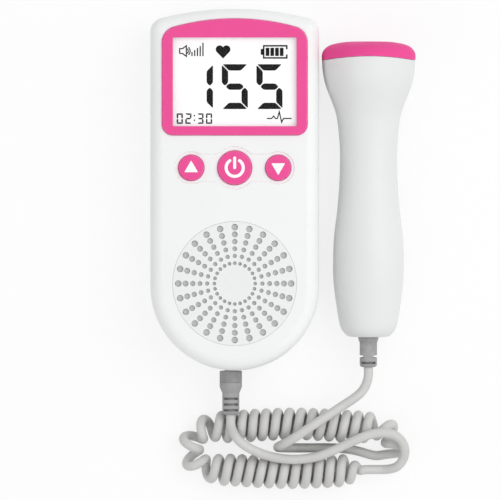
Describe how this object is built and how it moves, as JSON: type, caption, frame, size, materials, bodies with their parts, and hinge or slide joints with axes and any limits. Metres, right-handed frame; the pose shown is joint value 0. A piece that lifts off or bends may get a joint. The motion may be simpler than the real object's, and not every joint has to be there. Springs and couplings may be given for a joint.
{
  "type": "fetal doppler monitor",
  "caption": "Hand-held fetal doppler monitor with a framed display, control buttons and a speaker grille, joined by a curly cord to its ultrasound probe.",
  "frame": {"origin": "middle of the monitor's flat rear face, on which it lies", "axes": "+Y towards the monitor's arched top edge, +Z out of its display, +X towards the probe beside it"},
  "size_m": [0.0991, 0.1798, 0.0351],
  "materials": {
    "white_plastic": "white moulded plastic with a soft sheen",
    "pink_plastic": "glossy pink moulded plastic",
    "clear_window": "clear polished pane",
    "lcd_glass": "pale reflective display glass",
    "pale_plastic": "pale natural plastic",
    "dark_plastic": "black matt plastic",
    "steel": "bright plated steel",
    "speaker_cloth": "grey dust cloth",
    "speaker_paper": "black pressed paper",
    "magnet": "dark sintered magnet",
    "board_green": "green solder mask",
    "battery_sleeve": "dark printed sleeve with no words",
    "silvered_ceramic": "silvered ceramic",
    "backing_epoxy": "filled epoxy",
    "grey_rubber": "grey moulded rubber",
    "cord_rubber": "light grey satin cord sheath"
  },
  "bodies": {
    "monitor": {"front_casing": "white_plastic", "rear_casing": "white_plastic", "case_screw_1": "steel", "case_screw_2": "steel", "case_screw_3": "steel", "case_screw_4": "steel", "display_bezel": "pink_plastic", "display_window": "clear_window", "lcd_panel": "lcd_glass", "lcd_backlight": "pale_plastic", "up_switch": "dark_plastic", "power_switch": "dark_plastic", "down_switch": "dark_plastic", "speaker_grille": "white_plastic", "speaker_cloth": "speaker_cloth", "speaker_frame": "steel", "speaker_cone": "speaker_paper", "speaker_magnet": "magnet", "circuit_board": "board_green", "board_screw_1": "steel", "board_screw_2": "steel", "board_screw_3": "steel", "board_screw_4": "steel", "battery_left": "battery_sleeve", "battery_right": "battery_sleeve", "battery_link": "steel", "battery_contact_negative": "steel", "battery_contact_positive": "steel", "probe_socket": "dark_plastic", "unit_plug": "grey_rubber", "probe_cap": "pink_plastic", "probe_upper_shell": "white_plastic", "probe_lower_shell": "white_plastic", "probe_board": "board_green", "transmit_crystal": "silvered_ceramic", "receive_crystal": "silvered_ceramic", "crystal_backing": "backing_epoxy", "probe_gland": "grey_rubber", "unit_lead": "cord_rubber", "probe_lead": "cord_rubber", "cord_coil": "cord_rubber"},
    "up_key": {"up_button": "pink_plastic", "up_plunger": "pale_plastic"},
    "power_key": {"power_button": "pink_plastic", "power_plunger": "pale_plastic"},
    "down_key": {"down_button": "pink_plastic", "down_plunger": "pale_plastic"},
    "door": {"battery_door": "white_plastic"}
  },
  "joints": [
    {"name": "up_press", "type": "slide", "parent": "monitor", "child": "up_key", "axis": [0, 0, -1], "range_m": [0, 0.0008], "stiffness_N_per_m": 800, "springref_m": -0.0005},
    {"name": "power_press", "type": "slide", "parent": "monitor", "child": "power_key", "axis": [0, 0, -1], "range_m": [0, 0.0008], "stiffness_N_per_m": 800, "springref_m": -0.0005},
    {"name": "down_press", "type": "slide", "parent": "monitor", "child": "down_key", "axis": [0, 0, -1], "range_m": [0, 0.0008], "stiffness_N_per_m": 800, "springref_m": -0.0005},
    {"name": "battery_door_slide", "type": "slide", "parent": "monitor", "child": "door", "axis": [0, -1, 0], "range_m": [0, 0.008]}
  ]
}
